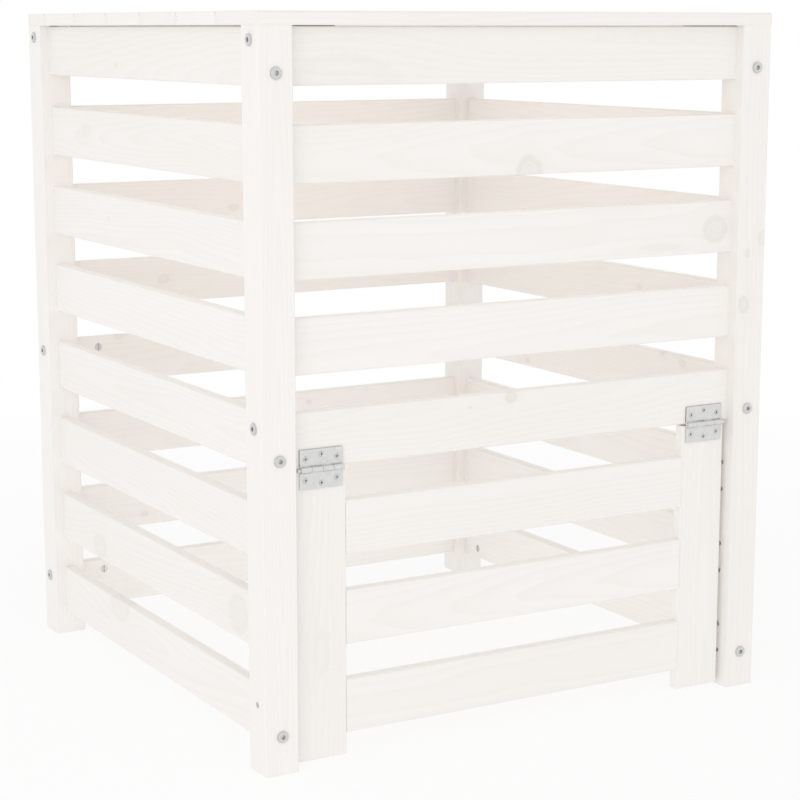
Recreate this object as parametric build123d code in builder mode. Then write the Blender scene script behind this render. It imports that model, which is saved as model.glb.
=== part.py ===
from build123d import *
import os

os.makedirs("parts", exist_ok=True)

# Slatted compost bin with a lift-off lid and a hinged flap at the foot of the front wall.
# The origin is on the ground under the middle of the bin, the front faces -Y and +Z is up.
# All sizes are in millimetres.

# Overall
bin_width = 635.0  # over the outer faces of the posts, left to right
bin_depth = 635.0  # over the outer faces of the posts, front to back
post_size = 38.0
arris = 1.0  # small chamfer along every timber

# Slats, counted from the top
slat_height = 58.0
slat_thickness = 13.0
slat_gap = 38.2
slat_rows = 8
front_rows = 5  # fixed slats above the flap
ground_clearance = 28.0  # under the lowest slat
top_gap = 0.9  # between the highest slat and the lid

# Stub tenons on the slats that no bolt holds
tenon_length = 12.0
tenon_height = 40.0
tenon_thickness = 6.0
tenon_clearance = 0.1

# Connector bolts and their barrel nuts
bolt_edge = 13.0  # from a bolt's axis to the nearest edge of its slat
bolt_diameter = 6.0
bolt_clearance = 0.5  # on the radius, in the timber
bolt_past_nut = 3.0  # from the nut's axis to the bolt's tip
bolt_head_diameter = 13.0
bolt_head_height = 2.0
bolt_head_sides = 18
socket_across_flats = 4.0
socket_depth = 2.5
nut_diameter = 10.0
nut_setback = 32.0  # from the post to the nut's axis
nut_cover = 2.0  # timber left in front of the nut
nut_clearance = 0.1
thread_clearance = 0.1
hidden_sides = 6  # flat sides of a hidden shank or bore
nut_sides = 8

# Blind holes for pairs of dowels, left empty in the front posts beside the flap
dowel_hole_diameter = 6.0
dowel_hole_depth = 12.0
dowel_hole_sides = 12

# Flap
stile_width = 58.0
flap_side_gap = 5.0
flap_top_gap = 2.5
flap_ground_clearance = 5.0

# Butt hinges
hinge_length = 50.0
hinge_reach = 20.75  # from the pin's axis to a leaf's outer edge
hinge_corner = 0.6
leaf_thickness = 1.2
knuckle_count = 4
knuckle_gap = 0.3  # between neighbouring knuckles
notch_clearance = 0.8  # between a knuckle and the other leaf's plate
pin_diameter = 3.5
pin_clearance = 0.05  # on the radius
pin_tail = 3.5  # bare end of the pin outside the hinge
hinge_standoff = 0.2  # between a knuckle and the timber's face
outer_screw_reach = 11.0  # from the pin's axis to the two outer screws
middle_screw_reach = 15.0
screw_spread = 18.0  # from the middle screw to an outer one

# Countersunk hinge screws
screw_diameter = 3.0
screw_head_diameter = 5.8
screw_clearance = 0.1
screw_rim = 0.1  # straight edge round the top of a head
countersink_depth = 1.0
screw_length = 11.5
screw_sides = 10

# Lid
lid_thickness = 14.0
board_cover = 96.5  # visible width of a full board
tongue_length = 5.0
tongue_thickness = 4.0
tongue_clearance = 0.15
board_bevel = 2.0
batten_clearance = 4.0  # to the slats and posts around it

# Places worked out from the sizes above
slat_pitch = slat_height + slat_gap
post_height = ground_clearance + slat_rows * slat_pitch - slat_gap + top_gap
post_x = (bin_width - post_size) / 2
post_y = (bin_depth - post_size) / 2
span_x = bin_width / 2 - post_size  # from the middle to a post's inner face
span_y = bin_depth / 2 - post_size
front_face = -post_y - slat_thickness / 2
bolted_rows = (1, front_rows, slat_rows)
bolt_rise = slat_height / 2 - bolt_edge
bolt_radius = bolt_diameter / 2
nut_length = slat_thickness - nut_cover
nut_radius = nut_diameter / 2


def row_height(row):
    return ground_clearance + slat_height / 2 + (slat_rows - row) * slat_pitch


# A wall's plane stands in the middle of its slats, with x along them, y up and z out of the bin.
# Bolts pass above the slats' middle in the front and back walls and below it in the side walls.
class Wall:
    def __init__(self, name, outward, along, distance, span, rows, bolt_side):
        self.name = name
        self.plane = Plane(origin=Vector(*outward) * distance, x_dir=along, z_dir=outward)
        self.span = span
        self.rows = range(1, rows + 1)
        self.tenon_rows = [row for row in self.rows if row not in bolted_rows]
        self.bolt_rows = [row for row in self.rows if row in bolted_rows]
        self.bolt_side = bolt_side

    def end_plane(self, end, reach):
        middle = self.plane.from_local_coords((end * reach, 0, 0))
        return Plane(origin=middle, x_dir=self.plane.z_dir * -end, z_dir=self.plane.x_dir * end)

    def both_ends(self, reach):
        return [self.end_plane(end, reach) for end in (-1, 1)]

    def bolt_height(self, row):
        return row_height(row) + self.bolt_side * bolt_rise

    def bolt_spots(self):
        return [(0, self.bolt_height(row)) for row in self.bolt_rows]

    def nut_spots(self, rows):
        nut_reach = self.span - nut_setback
        return [(end * nut_reach, self.bolt_height(row)) for row in rows for end in (-1, 1)]


front = Wall("front", (0, -1, 0), (1, 0, 0), post_y, span_x, front_rows, 1)
back = Wall("back", (0, 1, 0), (-1, 0, 0), post_y, span_x, slat_rows, 1)
left = Wall("left", (-1, 0, 0), (0, -1, 0), post_x, span_y, slat_rows, -1)
right = Wall("right", (1, 0, 0), (0, 1, 0), post_x, span_y, slat_rows, -1)
walls = (front, back, left, right)

# Two holes for every slat that the flap replaces, less the one that is drilled through for a bolt
flap_rows = range(front_rows + 1, slat_rows + 1)
flap_row_spots = [(0, row_height(row) + side * bolt_rise) for row in flap_rows for side in (-1, 1)]
empty_dowel_spots = [spot for spot in flap_row_spots if spot[1] != front.bolt_height(slat_rows)]


# Each post takes the end of one slat wall along X and of one along Y
def make_post(name, x_side, y_side, x_wall, x_end, y_wall, y_end):
    with BuildPart() as post:
        with BuildSketch():
            with Locations((x_side * post_x, y_side * post_y)):
                Rectangle(post_size, post_size)
        extrude(amount=post_height)
        chamfer(post.edges().filter_by(Axis.Z), arris)
        for wall, end in ((x_wall, x_end), (y_wall, y_end)):
            with BuildSketch(wall.end_plane(end, wall.span)):
                with Locations([(0, row_height(row)) for row in wall.tenon_rows]):
                    Rectangle(tenon_thickness + 2 * tenon_clearance, tenon_height + 2 * tenon_clearance)
            extrude(amount=tenon_length, mode=Mode.SUBTRACT)
            with BuildSketch(wall.end_plane(end, wall.span)):
                with Locations(wall.bolt_spots()):
                    RegularPolygon(bolt_radius + bolt_clearance, hidden_sides)
            extrude(amount=post_size, mode=Mode.SUBTRACT)
        # The front posts are drilled for the lowest rows too, where the flap leaves the holes empty
        if x_wall is front:
            with BuildSketch(front.end_plane(x_end, front.span)):
                with Locations((0, front.bolt_height(slat_rows))):
                    Circle(bolt_radius + bolt_clearance)
            extrude(amount=post_size, mode=Mode.SUBTRACT)
            with BuildSketch(front.end_plane(x_end, front.span)):
                with Locations(empty_dowel_spots):
                    RegularPolygon(dowel_hole_diameter / 2, dowel_hole_sides)
            extrude(amount=dowel_hole_depth, mode=Mode.SUBTRACT)
    post.part.label = name
    export_step(post.part, f"parts/{name}.step")


make_post("front_left_post", -1, -1, front, -1, left, 1)
make_post("front_right_post", 1, -1, front, 1, right, -1)
make_post("rear_left_post", -1, 1, back, 1, left, -1)
make_post("rear_right_post", 1, 1, back, -1, right, 1)


# Wall slats, bolted ones drilled for the bolts and nuts and the others tenoned
def make_slat(wall, row):
    name = f"{wall.name}_slat_{row}"
    with BuildPart() as slat:
        with BuildSketch(wall.plane):
            with Locations((0, row_height(row))):
                Rectangle(2 * wall.span, slat_height)
        extrude(amount=slat_thickness / 2, both=True)
        chamfer(slat.edges().filter_by(Axis((0, 0, 0), wall.plane.x_dir)), arris)
        if row in wall.tenon_rows:
            with BuildSketch(wall.plane):
                with Locations((0, row_height(row))):
                    Rectangle(2 * (wall.span + tenon_length), tenon_height)
            extrude(amount=tenon_thickness / 2, both=True)
        else:
            with BuildSketch(*wall.both_ends(wall.span)):
                with Locations((0, wall.bolt_height(row))):
                    RegularPolygon(bolt_radius + bolt_clearance, hidden_sides)
            extrude(amount=-nut_setback, mode=Mode.SUBTRACT)
            with BuildSketch(wall.plane.offset(-slat_thickness / 2)):
                with Locations(wall.nut_spots([row])):
                    RegularPolygon(nut_radius + nut_clearance, nut_sides)
            extrude(amount=nut_length, mode=Mode.SUBTRACT)
    slat.part.label = name
    export_step(slat.part, f"parts/{name}.step")


for wall in walls:
    for row in wall.rows:
        make_slat(wall, row)


# Connector bolts, with flat round heads on the posts and a hexagon socket in each
bolt_length = post_size + nut_setback + bolt_past_nut
with BuildPart() as connector_bolts:
    for wall in walls:
        post_face = wall.span + post_size
        with BuildSketch(*wall.both_ends(post_face)):
            with Locations(wall.bolt_spots()):
                RegularPolygon(bolt_radius, hidden_sides)
        extrude(amount=-bolt_length)
        with BuildSketch(*wall.both_ends(post_face)):
            with Locations(wall.bolt_spots()):
                RegularPolygon(bolt_head_diameter / 2, bolt_head_sides)
        extrude(amount=bolt_head_height)
        with BuildSketch(*wall.both_ends(post_face + bolt_head_height)):
            with Locations(wall.bolt_spots()):
                RegularPolygon(socket_across_flats / 2, 6, major_radius=False)
        extrude(amount=-socket_depth, mode=Mode.SUBTRACT)
connector_bolts.part.label = "connector_bolts"
export_step(connector_bolts.part, "parts/connector_bolts.step")

# Barrel nuts, flush with the slats' inner faces and cross-drilled for the bolts
with BuildPart() as barrel_nuts:
    for wall in walls:
        with BuildSketch(wall.plane.offset(-slat_thickness / 2)):
            with Locations(wall.nut_spots(wall.bolt_rows)):
                RegularPolygon(nut_radius, nut_sides)
        extrude(amount=nut_length)
        with BuildSketch(*wall.both_ends(wall.span)):
            with Locations(wall.bolt_spots()):
                RegularPolygon(bolt_radius + thread_clearance, hidden_sides)
        extrude(amount=-nut_setback - nut_diameter, mode=Mode.SUBTRACT)
barrel_nuts.part.label = "barrel_nuts"
export_step(barrel_nuts.part, "parts/barrel_nuts.step")

# Flap under the lowest fixed front slat, two stiles with slats tenoned between them
flap_top = row_height(front_rows) - slat_height / 2 - flap_top_gap
stile_height = flap_top - flap_ground_clearance
stile_x = span_x - flap_side_gap - stile_width / 2
flap_span = stile_x - stile_width / 2

for side, name in ((-1, "flap_left_stile"), (1, "flap_right_stile")):
    with BuildPart() as stile:
        with BuildSketch(front.plane):
            with Locations((side * stile_x, flap_ground_clearance + stile_height / 2)):
                Rectangle(stile_width, stile_height)
        extrude(amount=slat_thickness / 2, both=True)
        chamfer(stile.edges().filter_by(Axis.Z), arris)
        with BuildSketch(front.end_plane(side, flap_span)):
            with Locations([(0, row_height(row)) for row in flap_rows]):
                Rectangle(tenon_thickness + 2 * tenon_clearance, tenon_height + 2 * tenon_clearance)
        extrude(amount=tenon_length, mode=Mode.SUBTRACT)
    stile.part.label = name
    export_step(stile.part, f"parts/{name}.step")

for row in flap_rows:
    name = f"flap_slat_{row - front_rows}"
    with BuildPart() as flap_slat:
        with BuildSketch(front.plane):
            with Locations((0, row_height(row))):
                Rectangle(2 * flap_span, slat_height)
        extrude(amount=slat_thickness / 2, both=True)
        chamfer(flap_slat.edges().filter_by(Axis.X), arris)
        with BuildSketch(front.plane):
            with Locations((0, row_height(row))):
                Rectangle(2 * (flap_span + tenon_length), tenon_height)
        extrude(amount=tenon_thickness / 2, both=True)
    flap_slat.part.label = name
    export_step(flap_slat.part, f"parts/{name}.step")

# Butt hinges between the lowest fixed front slat and the stiles
pin_radius = pin_diameter / 2
bore_radius = pin_radius + pin_clearance
knuckle_radius = bore_radius + leaf_thickness
knuckle_pitch = hinge_length / knuckle_count
pin_height = flap_top + flap_top_gap / 2
pin_offset = knuckle_radius + hinge_standoff  # from the timber's face to the pin's axis
head_cone = (screw_head_diameter - screw_diameter) / 2
countersink_radius = screw_head_diameter / 2 + screw_rim + screw_clearance


def knuckle_middle(number):
    return (number + 0.5) * knuckle_pitch - hinge_length / 2


# The hinge plane lies on the timber's face, with y up from the pin's axis and z out of the bin
def hinge_plane(side):
    return Plane(origin=(side * stile_x, front_face, pin_height), x_dir=(1, 0, 0), z_dir=(0, -1, 0))


def pin_plane(side, along):
    middle = hinge_plane(side).from_local_coords((along, 0, pin_offset))
    return Plane(origin=middle, x_dir=(0, 1, 0), z_dir=(1, 0, 0))


def screw_spots(direction):
    outer = [(end * screw_spread, direction * outer_screw_reach) for end in (-1, 1)]
    return outer + [(0, direction * middle_screw_reach)]


# A leaf is a plate rolled round the pin at every second knuckle and cut away at the others
def make_leaf(name, side, direction, first_knuckle):
    plate_plane = hinge_plane(side)
    own = range(first_knuckle, knuckle_count, 2)
    other = range(1 - first_knuckle, knuckle_count, 2)
    notch = knuckle_radius + notch_clearance
    with BuildPart() as leaf:
        with BuildSketch(plate_plane) as plate:
            with Locations((0, direction * hinge_reach / 2)):
                Rectangle(hinge_length, hinge_reach)
            fillet(plate.vertices().sort_by(Axis.Y, reverse=direction > 0)[:2], hinge_corner)
            with Locations([(knuckle_middle(number), direction * notch / 2) for number in other]):
                Rectangle(knuckle_pitch + knuckle_gap, notch, mode=Mode.SUBTRACT)
            with Locations(screw_spots(direction)):
                RegularPolygon(countersink_radius - countersink_depth, screw_sides, mode=Mode.SUBTRACT)
        extrude(amount=leaf_thickness)
        chamfer(leaf.faces().sort_by(Axis.Y)[0].inner_wires().edges(), countersink_depth)
        for number in own:
            with BuildSketch(pin_plane(side, knuckle_middle(number))):
                Circle(knuckle_radius)
            extrude(amount=(knuckle_pitch - knuckle_gap) / 2, both=True)
        with BuildSketch(pin_plane(side, 0)):
            Circle(bore_radius)
        extrude(amount=hinge_length / 2, both=True, mode=Mode.SUBTRACT)
    leaf.part.label = name
    export_step(leaf.part, f"parts/{name}.step")


# The pin's bare tail is at the hinge's outer end
def make_pin(name, side):
    with BuildPart() as pin:
        with BuildSketch(pin_plane(side, side * pin_tail / 2)):
            Circle(pin_radius)
        extrude(amount=(hinge_length + pin_tail) / 2, both=True)
    pin.part.label = name
    export_step(pin.part, f"parts/{name}.step")


for side, name in ((-1, "left_hinge"), (1, "right_hinge")):
    make_leaf(f"{name}_frame_leaf", side, 1, 0)
    make_leaf(f"{name}_flap_leaf", side, -1, 1)
    make_pin(f"{name}_pin", side)


# Three screws through each leaf, with their heads flush with it
leaf_faces = [hinge_plane(side).offset(leaf_thickness) for side in (-1, 1)]
for direction, name in ((1, "frame_hinge_screws"), (-1, "flap_hinge_screws")):
    with BuildPart() as hinge_screws:
        for leaf_face in leaf_faces:
            with BuildSketch(leaf_face):
                with Locations(screw_spots(direction)):
                    RegularPolygon(screw_head_diameter / 2, screw_sides)
            extrude(amount=-screw_rim - head_cone)
        chamfer(hinge_screws.faces().filter_by(Axis.Y).group_by(Axis.Y)[-1].edges(), head_cone)
        for leaf_face in leaf_faces:
            with BuildSketch(leaf_face):
                with Locations(screw_spots(direction)):
                    RegularPolygon(screw_diameter / 2, hidden_sides)
            extrude(amount=-screw_length)
    hinge_screws.part.label = name
    export_step(hinge_screws.part, f"parts/{name}.step")

# Lid boards, tongued and grooved from front to back, with the last one ripped to what is left
board_starts = [-bin_depth / 2]
while board_starts[-1] + board_cover < bin_depth / 2:
    board_starts.append(board_starts[-1] + board_cover)
board_ends = board_starts[1:] + [bin_depth / 2]
joint_height = post_height + lid_thickness / 2
groove_thickness = tongue_thickness + 2 * tongue_clearance
groove_depth = tongue_length + tongue_clearance

for number, (start, end) in enumerate(zip(board_starts, board_ends), start=1):
    name = f"lid_board_{number}"
    with BuildPart() as board:
        with BuildSketch(Plane.YZ) as section:
            with Locations(((start + end) / 2, joint_height)):
                Rectangle(end - start, lid_thickness)
            chamfer(section.vertices().group_by(Axis.Y)[-1], board_bevel)
            if start != board_starts[0]:
                with Locations((start - tongue_length / 2, joint_height)):
                    Rectangle(tongue_length, tongue_thickness)
            if end != board_ends[-1]:
                with Locations((end - groove_depth / 2, joint_height)):
                    Rectangle(groove_depth, groove_thickness, mode=Mode.SUBTRACT)
        extrude(amount=bin_width / 2, both=True)
    board.part.label = name
    export_step(board.part, f"parts/{name}.step")

# Battens under the boards, which keep the lid between the posts
batten_x = span_x - batten_clearance - slat_height / 2
batten_length = 2 * (post_y - slat_thickness / 2 - batten_clearance)

for side, name in ((-1, "left_lid_batten"), (1, "right_lid_batten")):
    with BuildPart() as batten:
        with BuildSketch(Plane.XY.offset(post_height)):
            with Locations((side * batten_x, 0)):
                Rectangle(slat_height, batten_length)
        extrude(amount=-slat_thickness)
        chamfer(batten.edges().filter_by(Axis.Y).group_by(Axis.Z)[0], arris)
    batten.part.label = name
    export_step(batten.part, f"parts/{name}.step")
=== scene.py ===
import bmesh
import bpy
import math
from mathutils import Matrix, Vector


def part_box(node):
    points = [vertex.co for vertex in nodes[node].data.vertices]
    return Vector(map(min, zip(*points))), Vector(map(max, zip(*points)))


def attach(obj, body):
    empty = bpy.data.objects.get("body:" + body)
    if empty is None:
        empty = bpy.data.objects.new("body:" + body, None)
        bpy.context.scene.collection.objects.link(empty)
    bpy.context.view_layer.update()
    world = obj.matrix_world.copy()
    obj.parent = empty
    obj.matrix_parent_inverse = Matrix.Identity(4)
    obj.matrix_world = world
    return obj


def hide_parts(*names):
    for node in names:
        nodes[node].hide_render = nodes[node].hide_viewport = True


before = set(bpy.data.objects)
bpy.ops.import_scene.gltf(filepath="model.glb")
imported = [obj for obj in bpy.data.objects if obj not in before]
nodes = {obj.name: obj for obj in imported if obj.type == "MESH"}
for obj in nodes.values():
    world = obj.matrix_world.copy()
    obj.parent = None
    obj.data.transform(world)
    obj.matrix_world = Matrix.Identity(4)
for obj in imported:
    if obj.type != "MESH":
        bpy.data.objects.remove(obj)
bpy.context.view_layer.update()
scene = bpy.context.scene
print("compost bin loaded,", len(nodes), "pieces")


# node helpers: a socket is fed by a link or by a plain value
def feed(tree, socket, value):
    if isinstance(value, bpy.types.NodeSocket):
        tree.links.new(value, socket)
    else:
        socket.default_value = value


def feedAll(tree, node, values):
    for label, value in values.items():
        feed(tree, node.inputs[label], value)


def maths(tree, operation, *values):
    node = tree.nodes.new("ShaderNodeMath")
    node.operation = operation
    for socket, value in zip(node.inputs, values):
        feed(tree, socket, value)
    return node.outputs[0]


def plus(tree, first, second):
    return maths(tree, "ADD", first, second)


def minus(tree, first, second):
    return maths(tree, "SUBTRACT", first, second)


def times(tree, first, second):
    return maths(tree, "MULTIPLY", first, second)


def timesPlus(tree, value, factor, rest):
    return maths(tree, "MULTIPLY_ADD", value, factor, rest)


def larger(tree, first, second):
    return maths(tree, "MAXIMUM", first, second)


def smaller(tree, first, second):
    return maths(tree, "MINIMUM", first, second)


def centred(tree, value):                      # from 0 to 1 into -0.5 to 0.5
    return minus(tree, value, 0.5)


def apart(tree, first, second):
    return maths(tree, "ABSOLUTE", minus(tree, first, second))


def vectorMaths(tree, operation, *values):
    node = tree.nodes.new("ShaderNodeVectorMath")
    node.operation = operation
    for socket, value in zip(node.inputs, values):
        feed(tree, socket, value)
    return node.outputs["Value"] if operation in ("LENGTH", "DOT_PRODUCT") else node.outputs["Vector"]


def split(tree, vector):
    node = tree.nodes.new("ShaderNodeSeparateXYZ")
    feed(tree, node.inputs[0], vector)
    return list(node.outputs)


def combine(tree, x, y, z):
    node = tree.nodes.new("ShaderNodeCombineXYZ")
    for socket, value in zip(node.inputs, (x, y, z)):
        feed(tree, socket, value)
    return node.outputs[0]


def fade(tree, value, start, stop, low=0.0, high=1.0):   # smooth step from low to high
    node = tree.nodes.new("ShaderNodeMapRange")
    node.interpolation_type = "SMOOTHSTEP"
    feedAll(tree, node, {"Value": value, "From Min": start, "From Max": stop, "To Min": low, "To Max": high})
    return node.outputs[0]


def fadeOut(tree, value, start, stop):
    return fade(tree, value, start, stop, 1.0, 0.0)


def noise(tree, vector, scale=1.0, detail=2.0, roughness=0.5):
    node = tree.nodes.new("ShaderNodeTexNoise")
    feedAll(tree, node, {"Vector": vector, "Scale": scale, "Detail": detail, "Roughness": roughness})
    return node.outputs[0]


def cells(tree, vector, scale):
    node = tree.nodes.new("ShaderNodeTexVoronoi")
    feedAll(tree, node, {"Vector": vector, "Scale": scale})
    return node.outputs


def blendColor(tree, factor, first, second):
    node = tree.nodes.new("ShaderNodeMix")
    node.data_type = "RGBA"
    feed(tree, node.inputs[0], factor)
    feed(tree, node.inputs[6], first)          # 6 and 7 are the colour sockets
    feed(tree, node.inputs[7], second)
    return node.outputs[2]


def newGroup(name, inputs, outputs):
    group = bpy.data.node_groups.new(name, "ShaderNodeTree")
    for label, kind in inputs:
        group.interface.new_socket(label, in_out="INPUT", socket_type="NodeSocket" + kind)
    for label, kind in outputs:
        group.interface.new_socket(label, in_out="OUTPUT", socket_type="NodeSocket" + kind)
    return group, group.nodes.new("NodeGroupInput").outputs, group.nodes.new("NodeGroupOutput").inputs


def useGroup(tree, group, **values):           # socket names are written with _ for a space
    node = tree.nodes.new("ShaderNodeGroup")
    node.node_tree = group
    feedAll(tree, node, {label.replace("_", " "): value for label, value in values.items()})
    return node.outputs


def newMaterial(name):
    material = bpy.data.materials.new(name)
    material.use_nodes = True
    tree = material.node_tree
    return material, tree, tree.nodes["Principled BSDF"]


def bumpNormal(tree, height, depth):
    node = tree.nodes.new("ShaderNodeBump")
    feed(tree, node.inputs["Height"], height)
    node.inputs["Distance"].default_value = depth
    node.inputs["Strength"].default_value = 1.0
    return node.outputs[0]


# growth rings of a sawn pine board: lengths in metres, stretches in noise cells per metre along and across
grainShape = {
    "picks": (7.13, 31.7, 113.9),              # draw three numbers from one seed
    "shift": 61.0,                             # moves each board's noise to a place of its own
    "heartStretch": 2.4,
    "heartDetail": 1.5,
    "heartSpread": 0.075,                      # how far the heart lies to either side
    "heartLean": 0.10,
    "heartNearest": 0.016,
    "heartRange": 0.045,
    "wobbleStretch": (9.0, 45.0),
    "wobble": 0.004,
    "lateRise": 2.2,                           # darkens slowly through the year, then stops short
    "lateStop": 0.9,
    "fibreStretch": (14.0, 900.0),
    "fibreDetail": 3.0,
    "fibreRoughness": 0.6,
    "driftStretch": (3.2, 26.0),
    "fleckStretch": (5.0, 14.0),
    "fleckEdge": (0.012, 0.035),
}


# Place is along, across and through the board from its middle
def makeBoardGrain():
    s = grainShape
    group, given, out = newGroup(
        "boardGrain",
        [("Place", "Vector"), ("Swirl", "Float"), ("Seed", "Float"), ("Ring Width", "Float"),
         ("Wander", "Float")],
        [("Late Wood", "Float"), ("Fibre", "Float"), ("Drift", "Float"), ("Fleck", "Float")])
    along, across, through = split(group, given["Place"])
    across = plus(group, across, given["Swirl"])
    shift = times(group, given["Seed"], s["shift"])
    picks = [maths(group, "FRACT", times(group, given["Seed"], factor)) for factor in s["picks"]]
    sidePick, leanPick, depthPick = picks

    def stretched(lengthways, sideways):
        return combine(group, timesPlus(group, along, lengthways, shift),
                       times(group, across, sideways), times(group, through, sideways))

    # the heart of the tree lies behind the board, and drifts along its length
    drifted = combine(group, timesPlus(group, along, s["heartStretch"], shift), shift, 0.0)
    slow = centred(group, noise(group, drifted, detail=s["heartDetail"]))
    heartAcross = timesPlus(group, slow, given["Wander"],
                            times(group, centred(group, sidePick), s["heartSpread"]))
    lean = times(group, centred(group, leanPick), s["heartLean"])
    heartReach = timesPlus(group, depthPick, s["heartRange"], s["heartNearest"])
    heartDepth = timesPlus(group, along, lean, heartReach)
    sideStep = minus(group, across, heartAcross)
    depthStep = plus(group, through, heartDepth)
    squares = plus(group, times(group, sideStep, sideStep), times(group, depthStep, depthStep))
    wobble = centred(group, noise(group, stretched(*s["wobbleStretch"])))
    radius = timesPlus(group, wobble, s["wobble"], maths(group, "SQRT", squares))
    year = maths(group, "FRACT", maths(group, "DIVIDE", radius, given["Ring Width"]))
    rise = maths(group, "POWER", year, s["lateRise"])
    feed(group, out["Late Wood"], times(group, rise, fadeOut(group, year, s["lateStop"], 1.0)))

    fibre = noise(group, stretched(*s["fibreStretch"]), 1.0, s["fibreDetail"], s["fibreRoughness"])
    feed(group, out["Fibre"], fibre)
    feed(group, out["Drift"], noise(group, stretched(*s["driftStretch"])))
    flecks = cells(group, stretched(*s["fleckStretch"]), 1.0)["Distance"]
    feed(group, out["Fleck"], fadeOut(group, flecks, *s["fleckEdge"]))
    return group


# one knot: a ringed oval that the grain flows around, with its edges as shares of its radius
knotShape = {
    "depth": 0.03,
    "roughScale": 160.0,
    "rough": 0.45,
    "core": (0.72, 1.05),
    "rimIn": (0.62, 0.88),
    "rimOut": (0.88, 1.2),
    "rimTone": 0.5,
    "ringTurns": 22.0,
    "ringTone": 0.16,
    "coreTone": 0.5,
    "halo": (0.8, 3.0),
    "push": -0.55,
}


def makeKnot():
    s = knotShape
    group, given, out = newGroup(
        "knot",
        [("Place", "Vector"), ("Centre", "Vector"), ("Radius", "Float"), ("Stretch", "Float"),
         ("Depth", "Float")],
        [("Knot", "Float"), ("Halo", "Float"), ("Swirl", "Float")])
    away = vectorMaths(group, "SUBTRACT", given["Place"], given["Centre"])
    size = combine(group, times(group, given["Radius"], given["Stretch"]), given["Radius"], given["Depth"])
    rough = centred(group, noise(group, given["Place"], s["roughScale"]))
    length = vectorMaths(group, "LENGTH", vectorMaths(group, "DIVIDE", away, size))
    reach = timesPlus(group, rough, s["rough"], length)
    core = fadeOut(group, reach, *s["core"])
    rim = times(group, fade(group, reach, *s["rimIn"]), fadeOut(group, reach, *s["rimOut"]))
    wave = maths(group, "SINE", times(group, reach, s["ringTurns"]))
    rings = timesPlus(group, wave, s["ringTone"], s["coreTone"])
    feed(group, out["Knot"], plus(group, times(group, core, rings), times(group, rim, s["rimTone"])))
    halo = fadeOut(group, reach, *s["halo"])
    feed(group, out["Halo"], halo)
    feed(group, out["Swirl"], times(group, split(group, away)[1], times(group, halo, s["push"])))
    return group


# worn arris: nearness to the board's edges, broken up by noise
wearShape = {"scale": 38.0, "detail": 3.0, "roughness": 0.65, "spread": 2.0}


def makeArrisWear():
    s = wearShape
    group, given, out = newGroup(
        "arrisWear",
        [("Share", "Vector"), ("Size", "Vector"), ("Place", "Vector"), ("Width", "Float")],
        [("Wear", "Float")])
    other = vectorMaths(group, "SUBTRACT", (1.0, 1.0, 1.0), given["Share"])
    nearest = vectorMaths(group, "MINIMUM", given["Share"], other)
    a, b, c = split(group, vectorMaths(group, "MULTIPLY", nearest, given["Size"]))
    # the middle one of the three
    middle = larger(group, smaller(group, a, b), smaller(group, larger(group, a, b), c))
    patch = noise(group, given["Place"], s["scale"], s["detail"], s["roughness"])
    width = times(group, times(group, patch, given["Width"]), s["spread"])
    feed(group, out["Wear"], fadeOut(group, middle, 0.0, width))
    return group


# thin white paint over pine, where the timber shows through a little; its seam share is painted shade
paintShape = {
    "bareShares": {"Late Wood": 0.045, "Fibre": 0.03, "Drift": 0.06, "Fleck": 0.12, "Halo": 0.022,
                   "Wear": 0.05, "Tone": 0.03, "Seam": 0.50},
    "knotShare": 0.36,
    "roughness": 0.42,
    "fibreRoughness": 0.16,
    "wearRoughness": 0.10,
    "lateHeight": 0.45,
    "fibreHeight": 0.55,
    "knotHeight": 0.35,
}


def makeThinPaint():
    s = paintShape
    group, given, out = newGroup(
        "thinPaint",
        [("Paint", "Color"), ("Timber", "Color"), ("Knot Tone", "Color"), ("Late Wood", "Float"),
         ("Fibre", "Float"), ("Drift", "Float"), ("Fleck", "Float"), ("Knot", "Float"), ("Halo", "Float"),
         ("Wear", "Float"), ("Tone", "Float"), ("Seam", "Float")],
        [("Color", "Color"), ("Roughness", "Float"), ("Height", "Float")])
    bare = 0.0
    for label, share in s["bareShares"].items():
        bare = timesPlus(group, given[label], share, bare)
    board = blendColor(group, bare, given["Paint"], given["Timber"])
    knotted = times(group, given["Knot"], s["knotShare"])
    feed(group, out["Color"], blendColor(group, knotted, board, given["Knot Tone"]))
    matt = timesPlus(group, given["Fibre"], s["fibreRoughness"], s["roughness"])
    feed(group, out["Roughness"], timesPlus(group, given["Wear"], s["wearRoughness"], matt))
    ridge = timesPlus(group, given["Late Wood"], s["lateHeight"],
                      times(group, given["Fibre"], s["fibreHeight"]))
    feed(group, out["Height"], timesPlus(group, given["Knot"], s["knotHeight"], ridge))
    return group


# zinc plate: faint crystal patches, fine scratches along one way and dull spots
zincShape = {
    "scratchStretch": 0.04,
    "scratchRough": 0.6,
    "cloudScale": 190.0,
    "cloudDetail": 3.0,
    "patchShare": 0.35,
    "cloudShare": 0.55,
    "scratchShare": 0.25,
    "roughness": 0.20,
    "cloudRoughness": 0.22,
    "scratchRoughness": 0.12,
    "scratchHeight": 0.6,
    "patchHeight": 0.25,
}


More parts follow.
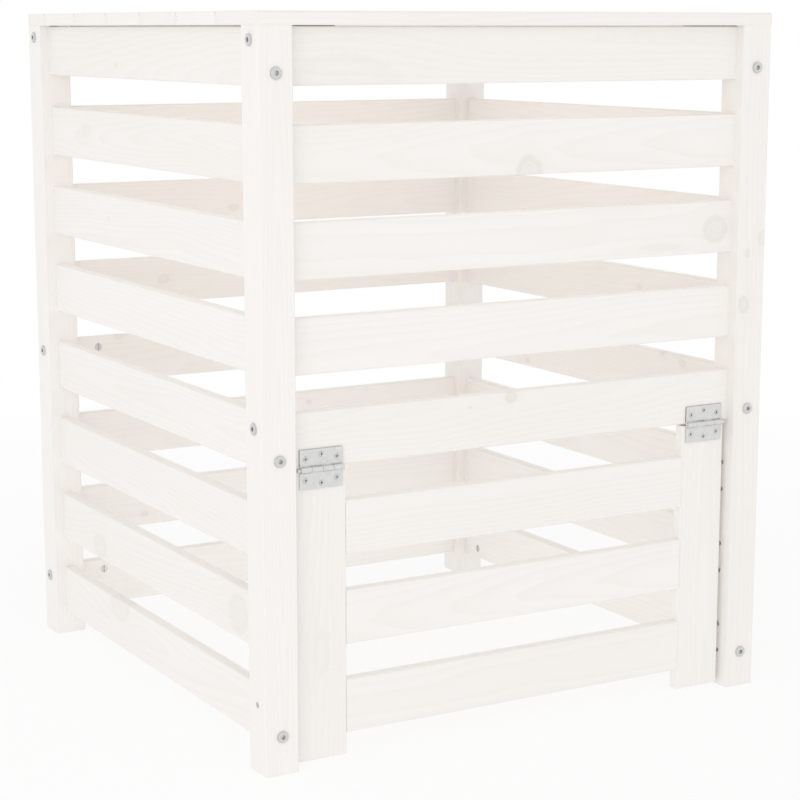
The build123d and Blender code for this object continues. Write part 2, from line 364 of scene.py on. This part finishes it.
def makeZincSkin():
    s = zincShape
    group, given, out = newGroup(
        "zincSkin",
        [("Place", "Vector"), ("Light", "Color"), ("Dull", "Color"), ("Patch", "Float"),
         ("Scratch", "Float")],
        [("Color", "Color"), ("Roughness", "Float"), ("Height", "Float")])
    patch = split(group, cells(group, given["Place"], given["Patch"])["Color"])[0]
    x, y, z = split(group, given["Place"])
    brushed = combine(group, times(group, x, s["scratchStretch"]), y, z)
    lines = noise(group, brushed, given["Scratch"], roughness=s["scratchRough"])
    cloud = noise(group, given["Place"], s["cloudScale"], s["cloudDetail"])
    mottle = plus(group, times(group, patch, s["patchShare"]), times(group, cloud, s["cloudShare"]))
    dulled = timesPlus(group, lines, s["scratchShare"], mottle)
    feed(group, out["Color"], blendColor(group, dulled, given["Light"], given["Dull"]))
    matt = timesPlus(group, lines, s["scratchRoughness"], s["roughness"])
    feed(group, out["Roughness"], timesPlus(group, cloud, s["cloudRoughness"], matt))
    ridge = timesPlus(group, lines, s["scratchHeight"], times(group, patch, s["patchHeight"]))
    feed(group, out["Height"], ridge)
    return group


boardGrain = makeBoardGrain()
knot = makeKnot()
arrisWear = makeArrisWear()
thinPaint = makeThinPaint()
zincSkin = makeZincSkin()
print("finish groups ready")


# painted timber, lengths in metres
timberLook = {
    "paint": (0.932, 0.912, 0.891, 1.0),
    "timber": (0.50, 0.38, 0.25, 1.0),
    "knotTone": (0.56, 0.52, 0.48, 1.0),
    "gloss": 0.4,
    "grainDepth": 0.00022,
    "wearWidth": 0.0022,
    "seamShadeEdge": (0.0001, 0.0017),              # full painted shade to none, to either side of a seam
    "seamShadeDepth": (0.005, 0.001),               # least painted shade to full, below the top of the lid
    "seamShadeLeast": 0.1,
}


# way gives the axes along, across and through the board
def paintedPine(name, way, sample, ringWidth, wander, knots=(), shadedSeams=()):
    look = timberLook
    material, tree, shader = newMaterial(name)
    low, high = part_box(sample)
    order = ["xyz".index(letter) for letter in way]
    size = [high[i] - low[i] for i in order]
    texture = tree.nodes.new("ShaderNodeTexCoord").outputs
    spot = split(tree, texture["Object"])
    place = combine(tree, *[spot[i] for i in order])
    generated = split(tree, texture["Generated"])
    share = combine(tree, *[generated[i] for i in order])
    local = vectorMaths(tree, "MULTIPLY", vectorMaths(tree, "SUBTRACT", share, (0.5, 0.5, 0.5)), size)
    seed = tree.nodes.new("ShaderNodeObjectInfo").outputs["Random"]

    dark, halo, swirl = 0.0, 0.0, 0.0
    for centre, radius, stretch, strength in knots:
        one = useGroup(tree, knot, Place=place, Centre=[centre[i] for i in order], Radius=radius,
                       Stretch=stretch, Depth=knotShape["depth"])
        dark = larger(tree, dark, times(tree, one["Knot"], strength))
        halo = larger(tree, halo, one["Halo"])
        swirl = plus(tree, swirl, one["Swirl"])
    grain = useGroup(tree, boardGrain, Place=local, Swirl=swirl, Seed=seed,
                     Ring_Width=ringWidth, Wander=wander)
    wear = useGroup(tree, arrisWear, Share=share, Size=size, Place=place, Width=look["wearWidth"])
    # painted shade in the V-grooves between the lid boards, strongest at the top
    seamShade = 0.0
    for across in shadedSeams:
        seamShade = larger(tree, seamShade, fadeOut(tree, apart(tree, spot[order[1]], across), *look["seamShadeEdge"]))
    if shadedSeams:
        start, stop = [high.z - depth for depth in look["seamShadeDepth"]]
        seamShade = times(tree, seamShade, fade(tree, spot[2], start, stop, look["seamShadeLeast"], 1.0))
    coat = useGroup(tree, thinPaint, Paint=look["paint"], Timber=look["timber"], Knot_Tone=look["knotTone"],
                    Late_Wood=grain["Late Wood"], Fibre=grain["Fibre"], Drift=grain["Drift"],
                    Fleck=grain["Fleck"], Knot=dark, Halo=halo, Wear=wear["Wear"], Tone=seed, Seam=seamShade)
    feed(tree, shader.inputs["Base Color"], coat["Color"])
    feed(tree, shader.inputs["Roughness"], coat["Roughness"])
    feed(tree, shader.inputs["Normal"], bumpNormal(tree, coat["Height"], look["grainDepth"]))
    shader.inputs["Specular IOR Level"].default_value = look["gloss"]
    return material


def dress(names, material):
    for name in names:
        piece = nodes[name]
        piece.data.materials.clear()
        piece.data.materials.append(material)


def named(stem):
    return sorted(name for name in nodes if stem in name)


# each wall's timber: a knot is its centre, radius, stretch along the grain and strength
frontWall = {
    "ringWidth": 0.0046, "wander": 0.05,
    "knots": [((0.0055, -0.305, 0.6085), 0.017, 0.95, 0.85), ((0.2555, -0.305, 0.5355), 0.0155, 1.1, 0.75),
              ((-0.0152, -0.305, 0.3682), 0.006, 1.2, 0.9), ((-0.2175, -0.305, 0.704), 0.030, 2.2, 0.28),
              ((0.18, -0.305, 0.519), 0.004, 7.0, 0.35), ((-0.0668, -0.305, 0.3616), 0.0016, 1.3, 0.9)],
}
sideWalls = {
    "ringWidth": 0.0042, "wander": 0.06,
    "knots": [((-0.305, 0.0729, 0.7166), 0.003, 1.8, 0.6), ((-0.305, 0.1672, 0.6398), 0.008, 1.6, 0.35),
              ((-0.305, 0.1575, 0.1400), 0.014, 1.5, 0.5), ((-0.305, -0.2290, 0.1510), 0.021, 1.1, 0.45),
              ((-0.305, 0.0985, 0.0800), 0.019, 1.5, 0.45), ((0.292, -0.1164, 0.4474), 0.0035, 1.3, 0.9),
              ((0.292, 0.1266, 0.3243), 0.003, 1.4, 0.9), ((0.292, -0.2043, 0.3664), 0.005, 1.5, 0.7),
              ((0.292, -0.165, 0.3728), 0.003, 1.5, 0.8)],
}
backWall = {
    "ringWidth": 0.0044, "wander": 0.055,
    "knots": [((0.0507, 0.292, 0.264), 0.003, 1.3, 0.9), ((-0.1892, 0.292, 0.1385), 0.0035, 1.3, 0.9),
              ((-0.1564, 0.292, 0.4421), 0.006, 1.4, 0.7), ((-0.2188, 0.292, 0.373), 0.004, 1.4, 0.7),
              ((-0.0563, 0.292, 0.5296), 0.005, 1.4, 0.7)],
}
posts = {
    "ringWidth": 0.0038, "wander": 0.03,
    "knots": [((0.2891, -0.3175, 0.4495), 0.0075, 1.3, 0.9), ((0.2927, -0.3175, 0.5077), 0.0035, 1.4, 0.9),
              ((0.3140, -0.3175, 0.5240), 0.007, 1.2, 0.7)],
}
flapBoards = {"ringWidth": 0.0045, "wander": 0.05, "knots": [((-0.2455, -0.305, 0.12), 0.009, 2.8, 0.18)]}
lidBoards = {
    "ringWidth": 0.0048, "wander": 0.06,
    "knots": [((-0.14, -0.22, 0.775), 0.013, 1.3, 0.7), ((0.19, -0.07, 0.775), 0.009, 1.4, 0.8),
              ((-0.05, 0.12, 0.775), 0.016, 1.2, 0.7), ((0.24, 0.26, 0.775), 0.010, 1.5, 0.8)],
}
lidBattens = {"ringWidth": 0.0044, "wander": 0.05}

dress(named("front_slat_"), paintedPine("frontSlatPaint", "xzy", "front_slat_1", **frontWall))
dress(named("left_slat_") + named("right_slat_"),
      paintedPine("sideSlatPaint", "yzx", "left_slat_1", **sideWalls))
dress(named("back_slat_"), paintedPine("backSlatPaint", "xzy", "back_slat_1", **backWall))
dress(named("_post"), paintedPine("postPaint", "zxy", "front_left_post", **posts))
dress(named("_stile"), paintedPine("stilePaint", "zxy", "flap_left_stile", **flapBoards))
dress(named("flap_slat_"), paintedPine("flapSlatPaint", "xzy", "flap_slat_1", **flapBoards))
lidShadedSeams = [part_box(name)[1].y for name in named("lid_board_")[:-1]]
dress(named("lid_board_"), paintedPine("lidPaint", "xyz", "lid_board_2", shadedSeams=lidShadedSeams, **lidBoards))
dress(named("_batten"), paintedPine("battenPaint", "yxz", "left_lid_batten", **lidBattens))
print("timber painted")


# zinc-plated hardware: each finish and its painted shade, then painted shade on the hinge plates' sheared
# edges
zincLook = {
    "hinge": {"Light": (0.79, 0.79, 0.78, 1.0), "Dull": (0.65, 0.65, 0.64, 1.0), "Patch": 420.0,
              "Scratch": 2600.0, "depth": 0.00004, "metal": 0.85},
    "bolt": {"Light": (0.74, 0.74, 0.73, 1.0), "Dull": (0.60, 0.60, 0.60, 1.0), "Patch": 900.0,
             "Scratch": 1800.0, "depth": 0.00003, "metal": 0.85},
    # darker copies for the fasteners' rims and recesses: painted shade
    "rim": {"Light": (0.68, 0.68, 0.67, 1.0), "Dull": (0.56, 0.56, 0.56, 1.0), "Patch": 900.0,
            "Scratch": 1800.0, "depth": 0.00003, "metal": 0.85},
    "recess": {"Light": (0.13, 0.13, 0.13, 1.0), "Dull": (0.07, 0.07, 0.07, 1.0), "Patch": 900.0,
               "Scratch": 1800.0, "depth": 0.00003, "metal": 0.1},
    # the tone of the painted shade on the hinge leaves' sheared sides
    "edgeShade": (0.05, 0.05, 0.05, 1.0),
    "frameEdgeShade": 0.9,                          # how dark the painted shade on the edges of each leaf is
    "flapEdgeShade": 0.15,
    "edgeTurn": (0.45, 0.75),                  # how far a face turns from the front to count as an edge
    "plateProud": 0.0013,                      # a leaf's face, out from the slats
    "plateFade": 0.0001,
    "knuckleReach": 0.0031,                    # out from the pin's axis, where the flat of a leaf begins
    "knuckleFade": 0.0004,
}
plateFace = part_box("front_slat_5")[0].y - zincLook["plateProud"]
pinHeight = (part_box("left_hinge_pin")[0].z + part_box("left_hinge_pin")[1].z) / 2


# edge is how dark the painted shade is on the sheared sides of a hinge plate: not its face, and not its
# knuckles
def zincPlate(name, look, edge=0.0):
    material, tree, shader = newMaterial(name)
    texture = tree.nodes.new("ShaderNodeTexCoord").outputs
    skin = useGroup(tree, zincSkin, Place=texture["Object"],
                    **{key: look[key] for key in ("Light", "Dull", "Patch", "Scratch")})
    tone = skin["Color"]
    if edge:
        # painted shade on the sides behind the leaf's face, clear of the knuckles
        spot = split(tree, texture["Object"])
        turned = maths(tree, "ABSOLUTE", split(tree, texture["Normal"])[1])
        side = fade(tree, turned, *zincLook["edgeTurn"], edge, 0.0)
        behind = fade(tree, spot[1], plateFace - zincLook["plateFade"], plateFace)
        knuckle = zincLook["knuckleReach"]
        plate = fade(tree, apart(tree, spot[2], pinHeight), knuckle, knuckle + zincLook["knuckleFade"])
        dark = times(tree, side, times(tree, behind, plate))
        tone = blendColor(tree, dark, tone, zincLook["edgeShade"])
    feed(tree, shader.inputs["Base Color"], tone)
    feed(tree, shader.inputs["Roughness"], skin["Roughness"])
    feed(tree, shader.inputs["Normal"], bumpNormal(tree, skin["Height"], look["depth"]))
    shader.inputs["Metallic"].default_value = look["metal"]
    return material


# the plain tone for the tops of bolts and nuts, and darker copies as painted shade for the rest
boltZinc = zincPlate("boltZinc", zincLook["bolt"])
rimShadeZinc = zincPlate("rimShadeZinc", zincLook["rim"])
recessShadeZinc = zincPlate("recessShadeZinc", zincLook["recess"])
dress(named("_frame_leaf"), zincPlate("frameLeafZinc", zincLook["hinge"], zincLook["frameEdgeShade"]))
dress(named("_flap_leaf"), zincPlate("flapLeafZinc", zincLook["hinge"], zincLook["flapEdgeShade"]))
dress(named("_hinge_pin"), zincPlate("pinZinc", zincLook["hinge"]))
print("hinges plated")


# fasteners are turned, struck with a punch and copied to the places of the CAD solids
fastenerLook = {
    "sameSpot": 5,                             # decimals, in metres, at which two corners are one
    "topSlope": 0.9,                           # faces this level, and this near the top, are bright
    "topBand": 0.0003,
    "sharpAngle": 28.0,
}


# the loose solids in a node, as boxes
def looseSolids(name):
    mesh = nodes[name].data
    root = {}

    def find(key):
        while root[key] != key:
            root[key] = root[root[key]]
            key = root[key]
        return key

    keys = [tuple(round(value, fastenerLook["sameSpot"]) for value in vertex.co) for vertex in mesh.vertices]
    for key in keys:
        root.setdefault(key, key)
    for face in mesh.polygons:
        first = find(keys[face.vertices[0]])
        for corner in face.vertices[1:]:
            root[find(keys[corner])] = first
    solids = {}
    for key in root:
        solids.setdefault(find(key), []).append(key)
    return [(Vector(map(min, *corners)), Vector(map(max, *corners))) for corners in solids.values()]


def ring(radius, sides, start=0.0):            # start is a share of one side
    turns = [2 * math.pi * (i + start) / sides for i in range(sides)]
    return [(radius * math.cos(turn), radius * math.sin(turn)) for turn in turns]


def star(arm, waist):
    half = [(arm, 0), (waist, waist), (0, arm), (-waist, waist)]
    return half + [(-x, -y) for x, y in half]


# a turned blank from (radius, height) pairs, from the bottom centre to the top centre
def turnedBlank(profile, sides):
    mesh = bmesh.new()
    rings = []
    for radius, height in profile:
        # half a side round, clear of the punch's corners
        outline = ring(radius, sides, 0.5) if radius else [(0, 0)]
        rings.append([mesh.verts.new((x, y, height)) for x, y in outline])
    for below, above in zip(rings, rings[1:]):
        for i in range(sides):
            corners = [below[i % len(below)], below[(i + 1) % len(below)],
                       above[(i + 1) % len(above)], above[i % len(above)]]
            mesh.faces.new(list(dict.fromkeys(corners)))
    return mesh


# a tapered punch between two outlines of the same count
def punch(top, bottom, high, low):
    mesh = bmesh.new()
    upper = [mesh.verts.new((x, y, high)) for x, y in top]
    lower = [mesh.verts.new((x, y, low)) for x, y in bottom]
    mesh.faces.new(upper)
    mesh.faces.new(lower[::-1])
    for i in range(len(upper)):
        j = (i + 1) % len(upper)
        mesh.faces.new((lower[i], lower[j], upper[j], upper[i]))
    return mesh


def asObject(mesh, name):
    data = bpy.data.meshes.new(name)
    bmesh.ops.recalc_face_normals(mesh, faces=mesh.faces)
    mesh.to_mesh(data)
    mesh.free()
    thing = bpy.data.objects.new(name, data)
    scene.collection.objects.link(thing)
    return thing


# cuts the punch out of the blank and gives the finished mesh
def struck(blank, tool, name):
    body = asObject(blank, name + "Blank")
    cutter = asObject(tool, name + "Punch")
    cut = body.modifiers.new("strike", "BOOLEAN")
    cut.operation = "DIFFERENCE"
    cut.object = cutter
    made = bpy.data.meshes.new_from_object(body.evaluated_get(bpy.context.evaluated_depsgraph_get()))
    bright = max(vertex.co.z for vertex in made.vertices) - fastenerLook["topBand"]
    for face in made.polygons:                 # all but the top gets painted shade: the recess, the rim and the shank
        isTop = face.normal.z > fastenerLook["topSlope"] and face.center.z > bright
        face.material_index = 0 if isTop else 1
    for thing in (body, cutter):
        data = thing.data
        bpy.data.objects.remove(thing)
        bpy.data.meshes.remove(data)
    return made


# copies of one finished mesh at every place, as one piece that stands for the CAD node
def fitted(name, made, places, node, body, shadedZinc):
    mesh = bmesh.new()
    for place in places:
        before = len(mesh.verts)
        mesh.from_mesh(made)
        mesh.verts.ensure_lookup_table()
        bmesh.ops.transform(mesh, matrix=place, verts=mesh.verts[before:])
    data = bpy.data.meshes.new(name)
    mesh.to_mesh(data)
    mesh.free()
    data.set_sharp_from_angle(angle=math.radians(fastenerLook["sharpAngle"]))
    data.materials.append(boltZinc)
    data.materials.append(shadedZinc)
    piece = bpy.data.objects.new(name, data)
    scene.collection.objects.link(piece)
    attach(piece, body)
    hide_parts(node)


def facing(point, axis, turn=0.0):             # local z points along axis
    aim = Vector(axis).to_track_quat("Z", "Y").to_matrix().to_4x4()
    return Matrix.Translation(point) @ aim @ Matrix.Rotation(turn, 4, "Z")


# connector bolts: flat round heads with a hexagon socket
boltShape = {
    "sides": 40,
    "headRadius": 0.0063,
    "headHeight": 0.002,
    "rim": 0.0005,
    "rimCurve": ((0.0, 2.0), (0.35, 0.8), (1.6, 0.15)),   # steps inward and down from the top, in rims
    "shank": 0.003,
    "tip": 0.7,                                # of the shank's radius
    "tipLength": 0.001,
    "socket": 0.0024,
    "socketMouth": 1.12,                       # of the socket's radius
    "socketFloor": 0.97,
    "socketDepth": 0.0028,
    "socketSides": 6,
    "punchOver": 0.0002,
    "turnStep": 0.37,                          # each head is turned a little further
}


def makeBolts():
    s = boltShape
    head, height, shank, rim = s["headRadius"], s["headHeight"], s["shank"], s["rim"]
    places = []
    for number, (low, high) in enumerate(looseSolids("connector_bolts")):
        size, middle = high - low, (low + high) / 2
        axis = max(range(2), key=lambda i: size[i])
        out = Vector((0, 0, 0))
        out[axis] = math.copysign(1.0, middle[axis])
        middle[axis] = (high if out[axis] > 0 else low)[axis] - out[axis] * height
        length = size[axis] - height
        places.append(facing(middle, out, s["turnStep"] * number))
    profile = [(0, -length), (shank * s["tip"], -length), (shank, -length + s["tipLength"]), (shank, 0),
               (head, 0)]
    profile += [(head - rim * inward, height - rim * down) for inward, down in s["rimCurve"]]
    profile.append((0, height))
    blank = turnedBlank(profile, s["sides"])
    mouth = ring(s["socket"] * s["socketMouth"], s["socketSides"])
    floor = ring(s["socket"] * s["socketFloor"], s["socketSides"])
    tool = punch(mouth, floor, height + s["punchOver"], height - s["socketDepth"])
    fitted("boltSet", struck(blank, tool, "bolt"), places, "connector_bolts", "frame", rimShadeZinc)


# barrel nuts: round ends with a screwdriver slot
nutShape = {
    "sides": 40,
    "radius": 0.005,
    "rim": 0.0004,
    "slot": 0.0006,
    "slotDepth": 0.0011,
    "slotReach": 1.2,                          # of the radius
    "slotTurn": 90.0,
    "punchOver": 0.001,
}


def makeNuts():
    s = nutShape
    radius, rim, half = s["radius"], s["rim"], s["slot"]
    places = []
    for low, high in looseSolids("barrel_nuts"):
        middle, size = (low + high) / 2, high - low
        axis = 0 if abs(middle.x) > abs(middle.y) else 1
        inward = Vector((0, 0, 0))
        inward[axis] = -math.copysign(1.0, middle[axis])
        middle[axis] = (high if inward[axis] > 0 else low)[axis]
        length = size[axis]
        places.append(facing(middle, inward, math.radians(s["slotTurn"])))
    profile = [(0, -length), (radius, -length), (radius, -rim), (radius - rim, 0), (0, 0)]
    blank = turnedBlank(profile, s["sides"])
    reach = radius * s["slotReach"]
    bar = [(-reach, -half), (reach, -half), (reach, half), (-reach, half)]
    tool = punch(bar, bar, s["punchOver"], -s["slotDepth"])
    fitted("nutSet", struck(blank, tool, "nut"), places, "barrel_nuts", "frame", rimShadeZinc)


# countersunk screws with a cross recess
screwShape = {
    "sides": 32,
    "headRadius": 0.0029,
    "headDepth": 0.0013,
    "headEdge": (0.0001, 0.00012),             # the rim's step inward, and its height
    "shank": 0.0014,
    "tip": 0.75,                               # of the shank's radius
    "tipLength": 0.002,
    "taperLength": 0.005,
    "arm": 0.0021,
    "waist": 0.00065,
    "armFloor": 0.55,                          # of the arm and the waist, at the floor of the recess
    "waistFloor": 0.6,
    "recess": 0.0014,
    "punchOver": 0.0001,
}


def makeScrews(name, node, body):
    s = screwShape
    head, shank = s["headRadius"], s["shank"]
    edgeStep, edgeHeight = s["headEdge"]
    places = []
    for low, high in looseSolids(node):
        middle = (low + high) / 2
        length = high.y - low.y
        places.append(facing((middle.x, low.y, middle.z), (0, -1, 0)))
    profile = [(0, -length), (shank * s["tip"], -length + s["tipLength"]),
               (shank, -length + s["taperLength"]), (shank, -s["headDepth"]), (head, -edgeHeight),
               (head - edgeStep, 0), (0, 0)]
    blank = turnedBlank(profile, s["sides"])
    mouth = star(s["arm"], s["waist"])
    floor = star(s["arm"] * s["armFloor"], s["waist"] * s["waistFloor"])
    tool = punch(mouth, floor, s["punchOver"], -s["recess"])
    fitted(name, struck(blank, tool, name), places, node, body, recessShadeZinc)


makeBolts()
makeNuts()
makeScrews("frameScrewSet", "frame_hinge_screws", "frame")
makeScrews("flapScrewSet", "flap_hinge_screws", "flap")
print("bolts, nuts and screws fitted")


# pale floor that runs out into the white surround, a soft key lamp, and bounce light inside the bin
studio = {
    "floorRadius": 9.0,
    "floorSides": 96,
    "floorTone": (0.93, 0.93, 0.93, 1.0),
    "mottleTone": (0.8, 0.8, 0.8, 1.0),
    "mottleScale": 40.0,
    "mottleDetail": 3.0,
    "mottle": 0.04,
    "floorRoughness": 0.9,
    "floorGloss": 0.1,
    "floorGlow": 0.82,                         # near the bin, rising to 1 between these distances
    "fadeStart": 0.7,
    "fadeEnd": 2.2,
    "surround": 0.84,
    "white": (1.0, 1.0, 1.0, 1.0),
    "brightSide": (-0.62, -0.62, 0.48),
    "slope": 0.18,
    "keyPower": 15.0,
    "keyTone": (1.0, 1.0, 1.0),
    "keyPlace": (-2.8, -2.6, 0.95),
    "keyAim": (0, 0, 0.4),
    "keySize": 2.6,
    "bounceSize": 0.52,
    "bounceGap": 0.004,                        # of a bounce lamp from the floor or from the lid's battens
    "upPower": 0.18,
    "upTone": (1.0, 0.98, 0.96),
    "downPower": 0.39,
    "downTone": (1.0, 0.94, 0.885),
}


def makeFloor():
    s = studio
    mesh = bmesh.new()
    bmesh.ops.create_circle(mesh, cap_ends=True, radius=s["floorRadius"], segments=s["floorSides"])
    floor = asObject(mesh, "floor")
    material, tree, shader = newMaterial("floorPaper")
    place = tree.nodes.new("ShaderNodeTexCoord").outputs["Object"]
    mottle = times(tree, noise(tree, place, s["mottleScale"], s["mottleDetail"]), s["mottle"])
    feed(tree, shader.inputs["Base Color"], blendColor(tree, mottle, s["floorTone"], s["mottleTone"]))
    shader.inputs["Roughness"].default_value = s["floorRoughness"]
    shader.inputs["Specular IOR Level"].default_value = s["floorGloss"]
    glow = tree.nodes.new("ShaderNodeEmission")
    mix = tree.nodes.new("ShaderNodeMixShader")
    distance = vectorMaths(tree, "LENGTH", place)
    feed(tree, mix.inputs[0], fade(tree, distance, s["fadeStart"], s["fadeEnd"], s["floorGlow"], 1.0))
    feed(tree, mix.inputs[1], shader.outputs[0])
    feed(tree, mix.inputs[2], glow.outputs[0])
    feed(tree, tree.nodes["Material Output"].inputs["Surface"], mix.outputs[0])
    floor.data.materials.append(material)


def makeLamp(name, shape, size, power, tone, place, aim):
    data = bpy.data.lights.new(name, "AREA")
    data.shape = shape
    data.size = size
    data.energy = power
    data.color = tone
    lamp = bpy.data.objects.new(name, data)
    lamp.visible_camera = False
    aimed = (Vector(aim) - Vector(place)).to_track_quat("-Z", "Y").to_matrix().to_4x4()
    lamp.matrix_world = Matrix.Translation(place) @ aimed
    scene.collection.objects.link(lamp)


def makeLight():
    s = studio
    world = bpy.data.worlds.new("surround")
    world.use_nodes = True
    tree = world.node_tree
    path = tree.nodes.new("ShaderNodeLightPath").outputs
    mirrored = larger(tree, path["Is Glossy Ray"], path["Is Transmission Ray"])
    seen = larger(tree, path["Is Camera Ray"], mirrored)
    back = tree.nodes["Background"]
    back.inputs["Color"].default_value = s["white"]
    sky = tree.nodes.new("ShaderNodeTexCoord").outputs["Generated"]
    toward = vectorMaths(tree, "DOT_PRODUCT", sky, s["brightSide"])
    lit = times(tree, timesPlus(tree, toward, s["slope"], 1.0), s["surround"])
    feed(tree, back.inputs["Strength"], plus(tree, seen, times(tree, lit, minus(tree, 1.0, seen))))
    scene.world = world
    makeLamp("key", "DISK", s["keySize"], s["keyPower"], s["keyTone"], s["keyPlace"], s["keyAim"])
    bottom = (0, 0, s["bounceGap"])
    top = (0, 0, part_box("left_lid_batten")[0].z - s["bounceGap"])
    makeLamp("bounceUp", "SQUARE", s["bounceSize"], s["upPower"], s["upTone"], bottom, (0, 0, 1))
    makeLamp("bounceDown", "SQUARE", s["bounceSize"], s["downPower"], s["downTone"], top, (0, 0, 0))


# the photograph's viewing angle: metres, radians, and millimetres for the lens and the sensor
viewpoint = {
    "place": (-1.2103, -2.1398, 0.7568),
    "turn": 0.5231,
    "tilt": 0.1772,
    "lens": 93.3,
    "sensor": 36.0,
}


def makeCamera():
    data = bpy.data.cameras.new("camera")
    data.sensor_fit = "HORIZONTAL"
    data.sensor_width = viewpoint["sensor"]
    data.lens = viewpoint["lens"]
    camera = bpy.data.objects.new("camera", data)
    camera.location = viewpoint["place"]
    camera.rotation_euler = (math.pi / 2 - viewpoint["tilt"], 0.0, -viewpoint["turn"])
    scene.collection.objects.link(camera)
    scene.camera = camera


makeFloor()
makeLight()
makeCamera()
scene.view_settings.view_transform = "Standard"
print("studio set")
